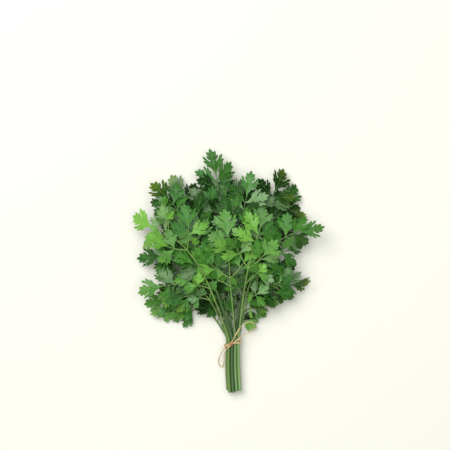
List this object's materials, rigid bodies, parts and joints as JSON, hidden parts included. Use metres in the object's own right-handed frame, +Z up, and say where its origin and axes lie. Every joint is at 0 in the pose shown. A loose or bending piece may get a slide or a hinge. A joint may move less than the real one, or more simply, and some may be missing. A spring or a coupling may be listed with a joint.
{
  "type": "parsley bunch",
  "caption": "Bunch of fresh flat-leaf parsley lying on its side, its long stems bound near the cut ends with a raffia tie and bow.",
  "frame": {"origin": "on the table under the straight stems, between their cut ends and the raffia tie, on the flat underside of the bottom row", "axes": "+Y along the stems from the cut ends to the leaf tips, +Z up from the table, +X across the bunch to the side of the larger bow loop"},
  "size_m": [0.2121, 0.2722, 0.0663],
  "materials": {
    "parsley": "fresh leaf and stem, satin, green with paler undersides and veins",
    "raffia": "dry natural raffia, matt with fine long fibres"
  },
  "bodies": {
    "root": {"leafy_stem_01": "parsley", "leafy_stem_02": "parsley", "leafy_stem_03": "parsley", "leafy_stem_04": "parsley", "leafy_stem_05": "parsley", "leafy_stem_06": "parsley", "leafy_stem_07": "parsley", "leafy_stem_08": "parsley", "leafy_stem_09": "parsley", "leafy_stem_10": "parsley", "leafy_stem_11": "parsley", "leafy_stem_12": "parsley", "leafy_stem_13": "parsley", "leafy_stem_14": "parsley", "leafy_stem_15": "parsley", "leafy_stem_16": "parsley", "raffia_tie": "raffia"}
  },
  "joints": []
}
